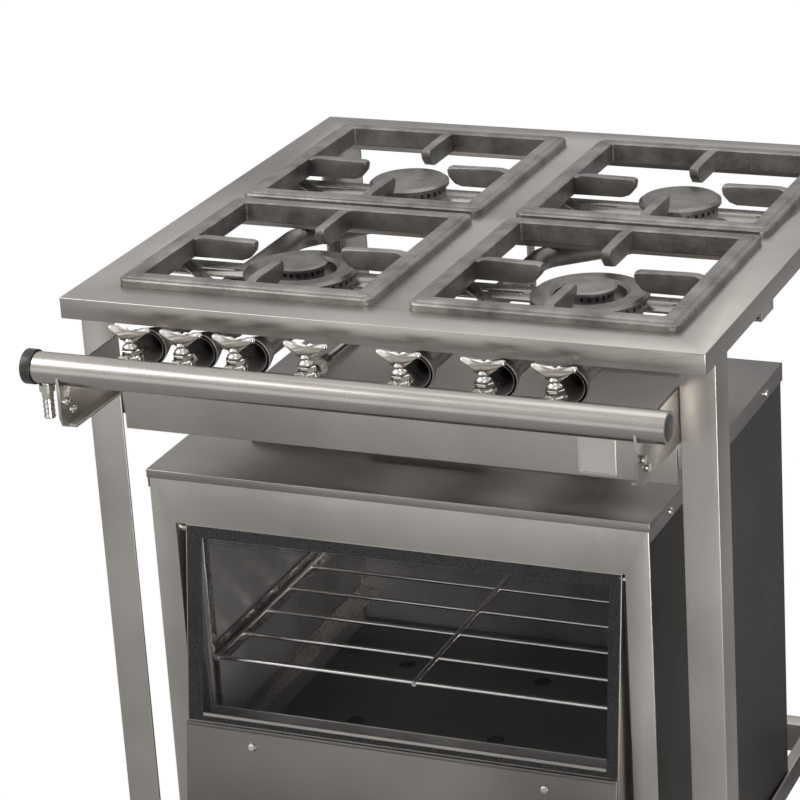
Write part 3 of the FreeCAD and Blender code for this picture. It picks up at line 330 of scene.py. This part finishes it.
# ---- Taps
# Chrome bodies screwed into the back of the pipe by a hexagon, each with a winged handle on a stem.
# The injector points from the body into the burner's flared mouth.
def boxes_of_solids(node):
    """The box of each separate solid in a node, left to right."""
    bm = bmesh.new()
    bm.from_mesh(frame["nodes"][node].data)
    bmesh.ops.remove_doubles(bm, verts=bm.verts[:], dist=0.00001)
    left, found = set(bm.verts), []
    while left:
        reach, seen = [left.pop()], []
        while reach:
            vert = reach.pop()
            seen.append(vert.co.copy())
            for edge in vert.link_edges:
                other = edge.other_vert(vert)
                if other in left:
                    left.remove(other)
                    reach.append(other)
        low = Vector([min(c[k] for c in seen) for k in range(3)])
        high = Vector([max(c[k] for c in seen) for k in range(3)])
        found.append((low, high))
    bm.free()
    return sorted(found, key=lambda pair: pair[0].x)


WING = [(0, 0.8330), (0.0045, 0.8332), (0.0095, 0.8346), (0.0150, 0.8366), (0.0205, 0.8380),
        (0.0240, 0.8374), (0.0250, 0.8346), (0.0238, 0.8322), (0.0190, 0.8312), (0.0135, 0.8296),
        (0.0095, 0.8272), (0.0072, 0.8240), (0.0062, 0.8205)]
wing_outline = WING + [(-a, z) for a, z in reversed(WING[1:])]
for node in [n for n in frame["nodes"] if n.endswith("_tap_handle")]:
    low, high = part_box(node)
    x, y = (low.x + high.x) / 2, (low.y + high.y) / 2
    bm = bmesh.new()
    plate(bm, wing_outline, 0.0068, 0.0024, 4)
    turned(bm, [(0.0048, 0.8054), (0.0048, 0.8138), (0.0082, 0.8140), (0.0085, 0.8152), (0.0078, 0.8168),
                (0.0058, 0.8180), (0.0052, 0.8200), (0.0060, 0.8225), (0.0045, 0.8245)],
           (0, 0, 0), (0, 0, 1), 28)
    bm.transform(Matrix.Translation((x, y, 0)))
    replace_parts(made(node + "_cast", bm, chrome, body_of_node[node], 45), node)

bm = bmesh.new()
for low, high in boxes_of_solids("tap_bodies"):
    x, y, z = (low.x + high.x) / 2, high.y - 0.021, (low.z + high.z) / 2
    turned(bm, [(0.0060, -0.013), (0.0078, -0.0122), (0.0080, -0.0085), (0.0105, -0.0072),
                (0.0110, -0.0050), (0.0110, 0.0050), (0.0100, 0.0062), (0.0088, 0.0070)],
           (x, y, z), (0, 0, 1))
    turned(bm, [(0.0102, 0.0070), (0.0108, 0.0076), (0.0108, 0.0122), (0.0098, 0.0130)],
           (x, y, z), (0, 0, 1), 6)
    turned(bm, [(0.0068, 0), (0.0068, 0.0135), (0.0098, 0.0140), (0.0105, 0.0148), (0.0105, 0.0225),
                (0.0098, 0.0235)], (x, y, z), (0, -1, 0), 6)
    turned(bm, [(0.0068, 0.0230), (0.0068, high.y - low.y - 0.022)], (x, y, z), (0, -1, 0))
    turned(bm, [(0.0068, 0), (0.0068, 0.0125), (0.0082, 0.0130), (0.0082, 0.0185), (0.0070, 0.0195),
                (0.0060, 0.0209)], (x, y, z), (0, 1, 0), 6)
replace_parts(made("tap_bodies_turned", bm, chrome, "range_frame"), "tap_bodies")
skin(frame["nodes"]["gas_injectors"], chrome)


# ---- Bolts and screws
# Dished pan heads. The pipe brackets, burner bars and oven cover are held by one size, and two more
# hold the door's lower panel.
bm = bmesh.new()
for low, high in boxes_of_solids("frame_bolts"):
    middle, radius = (low + high) / 2, (high.y - low.y) / 2
    out = 1 if middle.x > 0 else -1
    if middle.z < 0.7:
        foot, rise = Vector((low.x if out > 0 else high.x, middle.y, middle.z)), high.x - low.x
    else:
        foot, rise = Vector((high.x if out > 0 else low.x, middle.y, middle.z)), high.x - low.x
        out = -out
    turned(bm, [(radius, 0), (radius, rise * 0.35), (radius * 0.85, rise * 0.75), (radius * 0.5, rise * 0.97),
                (radius * 0.34, rise), (radius * 0.30, rise * 0.6)], foot, (out, 0, 0), 24)
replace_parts(made("frame_bolt_heads", bm, chrome, "range_frame"), "frame_bolts")


# ---- Apron and drip tray
# The apron is a folded panel between the brackets, with a small blank plate at its right end.
# The tray is a shallow pan that draws forward along two low runners on the oven's cover.
eased("front_apron", 0.0007, steel_across)
eased("drip_tray", 0.0006, steel_across)
plate_finish = satin_steel("plate_finish", (2, 2, 2), (0.56, 0.53, 0.495), (0.66, 0.625, 0.585), (0.3, 0.42))
low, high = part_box("blank_plate")
bm = bmesh.new()
size, taller = (high.x - low.x) / 2, ((high.z - low.z) - (high.x - low.x)) / 2
bridge = [[p + Vector((0, math.copysign(taller, p.y), 0)) for p in rounded_square(size - inset, 0.003, depth)]
          for inset, depth in ((0.0002, 0), (0, 0.0012), (0.0004, 0.0015), (0.0022, 0.0015),
                               (0.0026, 0.0009))]
rows = bridge_rings(bm, bridge, close=False)
bm.faces.new(rows[0][::-1])
bm.faces.new(rows[-1])
bm.transform(Matrix.Translation(((low.x + high.x) / 2, high.y, (low.z + high.z) / 2))
             @ Matrix.Rotation(math.pi / 2, 4, "X"))
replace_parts(made("blank_plate_pressed", bm, plate_finish, "range_frame"), "blank_plate")


# ---- Oven body
# A dark casing with a steel front frame and a folded top cover. Inside are the enamelled liner, the
# rack guides, the floor plate and the burner under it, fed by a bent pipe behind.
dark_steel = satin_steel("dark_casing", (10, 10, 1), (0.055, 0.053, 0.05), (0.095, 0.092, 0.088), (0.34, 0.5))
enamel, enamel_nodes, enamel_links, enamel_shader = new_finish("grey_enamel", (0.4, 0.38, 0.36), 0.6, 0.34)
enamel_clouds = grain(enamel_nodes, enamel_links, (1, 1, 1), 9, 5)
tint(enamel_nodes, enamel_links, enamel_shader, enamel_clouds, (0.30, 0.284, 0.265), (0.5, 0.474, 0.443))
sheen_spread(enamel_nodes, enamel_links, enamel_shader, enamel_clouds, 0.3, 0.42)
floor_enamel, floor_nodes, floor_links, floor_shader = new_finish(
    "floor_enamel", (0.05, 0.05, 0.05), 0.2, 0.4)
floor_clouds = grain(floor_nodes, floor_links, (1, 1, 1), 14, 5)
tint(floor_nodes, floor_links, floor_shader, floor_clouds, (0.018, 0.017, 0.016), (0.05, 0.047, 0.044))
sheen_spread(floor_nodes, floor_links, floor_shader, floor_clouds, 0.34, 0.5)
eased("oven_casing", 0.0010, dark_steel)
# The top cover is the frame's side-to-side brushed steel made darker: painted shade from the hob and apron
# above it.
cover_steel_painted_shade = satin_steel("cover_steel_painted_shade", (1, 14, 14), (0.24, 0.225, 0.21), (0.33, 0.31, 0.289), (0.3, 0.42))
eased("oven_top_cover", 0.0009, cover_steel_painted_shade)
eased("oven_front_frame", 0.0009, steel_upright)
eased("oven_liner", 0.0006, enamel)
skin(frame["nodes"]["oven_floor_plate"], floor_enamel)
for node in ("oven_burner", "oven_gas_pipe"):
    skin(frame["nodes"][node], bright_plate)
wool, wool_nodes, wool_links, wool_shader = new_finish("mineral_wool", (0.5, 0.45, 0.33), 0, 0.95)
strands = grain(wool_nodes, wool_links, (4, 4, 30), 40, 6)
tint(wool_nodes, wool_links, wool_shader, strands, (0.34, 0.3, 0.2), (0.56, 0.5, 0.37))
relief(wool_nodes, wool_links, wool_shader, [(strands, 0.002)])
skin(frame["nodes"]["oven_insulation"], wool)
wire = satin_steel("bright_wire", (1, 1, 1), (0.6, 0.59, 0.57), (0.75, 0.735, 0.71), (0.14, 0.26))
skin(frame["nodes"]["oven_rack"], wire)


# ---- Oven door
# A wedge-shaped steel pan hung from two pins at its top. Glass with a black printed border is clamped
# above a plain folded panel, which two pan heads hold, and a bar handle stands off near the bottom.
frame_low, frame_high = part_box("door_frame")
lean = math.atan2(0.072, frame_high.z - frame_low.z)
door_top = Vector((frame_low.x, frame_low.y + 0.072, frame_high.z))
face_down = Vector((0, -math.sin(lean), -math.cos(lean)))
face_out = Vector((0, -math.cos(lean), math.sin(lean)))
door_wide = frame_high.x - frame_low.x


def on_door(across, down, out):
    return door_top + Vector((across, 0, 0)) + face_down * down + face_out * out


def slab(bm, across, down, out, ease=0.0):
    """A flat bar on the door's face between two values each of across, down and out."""
    corners = [bm.verts.new(on_door(a, d, o)) for o in out for d in down for a in across]
    quads = [(0, 1, 3, 2), (4, 6, 7, 5), (0, 4, 5, 1), (2, 3, 7, 6), (0, 2, 6, 4), (1, 5, 7, 3)]
    fresh = [bm.faces.new([corners[i] for i in quad]) for quad in quads]
    if ease:
        bmesh.ops.bevel(bm, geom=list({e for f in fresh for e in f.edges}), offset=ease, segments=2,
                        profile=0.5, affect="EDGES", clamp_overlap=True)


eased("door_frame", 0.0008, steel_upright)
glass, glass_nodes, glass_links, glass_shader = new_finish("door_glass_clear", (0.01, 0.01, 0.01), 0, 0.03)
glass_shader.inputs["Alpha"].default_value = 0.1
glass_shader.inputs["IOR"].default_value = 1.5
smears = grain(glass_nodes, glass_links, (1, 1, 1), 6)
sheen_spread(glass_nodes, glass_links, glass_shader, smears, 0.015, 0.06)
bm = bmesh.new()
GLASS_DROP = 0.226
slab(bm, (0.001, door_wide - 0.001), (0.002, GLASS_DROP), (0.0005, 0.004), 0.0006)
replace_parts(made("door_glass_pane", bm, glass, "oven_door"), "door_glass")

black_print, print_nodes, print_links, print_shader = new_finish(
    "black_print", (0.006, 0.006, 0.006), 0, 0.25)
print_grain = grain(print_nodes, print_links, (1, 1, 1), 300)
sheen_spread(print_nodes, print_links, print_shader, print_grain, 0.2, 0.32)
bm = bmesh.new()
slab(bm, (0.001, door_wide - 0.001), (0.002, 0.015), (0.0001, 0.0004))
slab(bm, (0.001, door_wide - 0.001), (GLASS_DROP - 0.006, GLASS_DROP), (0.0001, 0.0004))
slab(bm, (0.001, 0.019), (0.015, GLASS_DROP - 0.006), (0.0001, 0.0004))
slab(bm, (door_wide - 0.014, door_wide - 0.001), (0.015, GLASS_DROP - 0.006), (0.0001, 0.0004))
for line, (down, radius) in enumerate(((0.0172, 0.0011), (0.0200, 0.0008), (0.0224, 0.0005))):
    for i in range(int((door_wide - 0.03) / 0.0032)):
        dot = on_door(0.0135 + 0.0032 * (i + 0.5 * (line % 2)), down, 0.0001)
        turned(bm, [(radius, 0), (radius, 0.0003)], dot, face_out, 6)
made("door_glass_border", bm, black_print, "oven_door")

panel_steel = satin_steel("panel_steel", (1, 14, 14),
                          (0.12, 0.113, 0.105), (0.18, 0.169, 0.157), (0.28, 0.42))
door_drop = (frame_high.z - frame_low.z) / math.cos(lean)
bm = bmesh.new()
slab(bm, (0, door_wide), (GLASS_DROP + 0.001, door_drop), (0.0, 0.005), 0.0009)
slab(bm, (0.002, door_wide - 0.002), (GLASS_DROP + 0.0012, GLASS_DROP + 0.0052), (0.0042, 0.0056), 0.0005)
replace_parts(made("door_panel_folded", bm, panel_steel, "oven_door"), "door_panel")
bm = bmesh.new()
for low, high in boxes_of_solids("door_screws"):
    middle = (low + high) / 2
    turned(bm, [(0.005, -0.0015), (0.005, -0.0004), (0.0042, 0.0009), (0.0028, 0.0015), (0.0016, 0.0015),
                (0.0014, 0.0004)], middle, face_out, 24)
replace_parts(made("door_screw_heads", bm, chrome, "oven_door"), "door_screws")
for node in ("door_handle", "door_hinge_pins"):
    skin(frame["nodes"][node], chrome)
eased("door_inner_panel", 0.0005, enamel)


# ---- Room, light and camera
# A pale floor and a white room, both plain white when seen directly and greyer in reflections. The
# soft light is a high window on the left, a low one at the front right, a faint wide card at the
# front left and one panel overhead.
def pale_floor():
    finish, nodes, links, shader = new_finish("pale_floor", (0.3, 0.3, 0.3), 0, 0.8)
    clouds = grain(nodes, links, (1, 1, 1), 2)
    tint(nodes, links, shader, clouds, (0.29, 0.29, 0.29), (0.31, 0.31, 0.31))
    white = nodes.new("ShaderNodeEmission")
    seen = nodes.new("ShaderNodeLightPath")
    either = nodes.new("ShaderNodeMixShader")
    links.new(seen.outputs["Is Camera Ray"], either.inputs["Fac"])
    links.new(shader.outputs["BSDF"], either.inputs[1])
    links.new(white.outputs["Emission"], either.inputs[2])
    links.new(either.outputs["Shader"], nodes["Material Output"].inputs["Surface"])
    bm = bmesh.new()
    bmesh.ops.create_grid(bm, x_segments=8, y_segments=8, size=14)
    mesh = bpy.data.meshes.new("pale_floor")
    bm.to_mesh(mesh)
    bm.free()
    floor = bpy.data.objects.new("pale_floor", mesh)
    bpy.context.collection.objects.link(floor)
    skin(floor, finish)


def white_room():
    world = bpy.data.worlds.new("white_room")
    world.use_nodes = True
    nodes, links = world.node_tree.nodes, world.node_tree.links
    where = nodes.new("ShaderNodeTexCoord")
    split = nodes.new("ShaderNodeSeparateXYZ")
    ramp = nodes.new("ShaderNodeValToRGB")
    ramp.color_ramp.elements[0].position = 0.0
    ramp.color_ramp.elements[0].color = (0.2, 0.2, 0.2, 1)
    ramp.color_ramp.elements[1].position = 0.75
    ramp.color_ramp.elements[1].color = (1.0, 1.0, 1.0, 1)
    middle = ramp.color_ramp.elements.new(0.3)
    middle.color = (0.75, 0.75, 0.75, 1)
    seen = nodes.new("ShaderNodeLightPath")
    white = nodes.new("ShaderNodeBackground")
    white.inputs["Color"].default_value = (1, 1, 1, 1)
    either = nodes.new("ShaderNodeMixShader")
    links.new(where.outputs["Generated"], split.inputs["Vector"])
    links.new(split.outputs["Z"], ramp.inputs["Fac"])
    links.new(ramp.outputs["Color"], nodes["Background"].inputs["Color"])
    links.new(seen.outputs["Is Camera Ray"], either.inputs["Fac"])
    links.new(nodes["Background"].outputs["Background"], either.inputs[1])
    links.new(white.outputs["Background"], either.inputs[2])
    links.new(either.outputs["Shader"], nodes["World Output"].inputs["Surface"])
    bpy.context.scene.world = world


def soft_light(name, place, aim, size, power):
    data = bpy.data.lights.new(name, "AREA")
    data.shape = "RECTANGLE"
    data.size, data.size_y = size
    data.energy = power
    lamp = bpy.data.objects.new(name, data)
    lamp.location = place
    lamp.rotation_euler = (Vector(aim) - Vector(place)).to_track_quat("-Z", "Y").to_euler()
    bpy.context.collection.objects.link(lamp)


pale_floor()
soft_light("left_window", (-2.6, -1.6, 3.0), (0, 0, 0.6), (2.2, 2.2), 60)
soft_light("front_window", (1.9, -2.9, 0.75), (-0.1, 0, 0.45), (1.3, 1.3), 70)
soft_light("low_card", (-1.9, -3.8, 0.7), (0, -0.2, 0.45), (3.2, 1.8), 16)
soft_light("overhead", (0.3, 0.6, 3.4), (0, 0, 0.8), (2.6, 2.6), 20)
white_room()
bpy.context.scene.view_settings.view_transform = "Standard"

YAW, PITCH, ROLL = 0.3957, 0.3446, -0.0547
ahead = Vector((-math.sin(YAW) * math.cos(PITCH), math.cos(YAW) * math.cos(PITCH), -math.sin(PITCH)))
right = Vector((math.cos(YAW), math.sin(YAW), 0))
up = right.cross(ahead)
level_right = right * math.cos(ROLL) + up * math.sin(ROLL)
level_up = up * math.cos(ROLL) - right * math.sin(ROLL)
lens = bpy.data.cameras.new("camera")
lens.sensor_width = 36
lens.lens = 137.9
lens.shift_x, lens.shift_y = -0.1, -0.1
lens.clip_end = 60
camera = bpy.data.objects.new("camera", lens)
turn = Matrix((level_right, level_up, -ahead)).transposed().to_4x4()
camera.matrix_world = Matrix.Translation((1.2576, -3.0188, 1.9203)) @ turn
bpy.context.collection.objects.link(camera)
bpy.context.scene.camera = camera
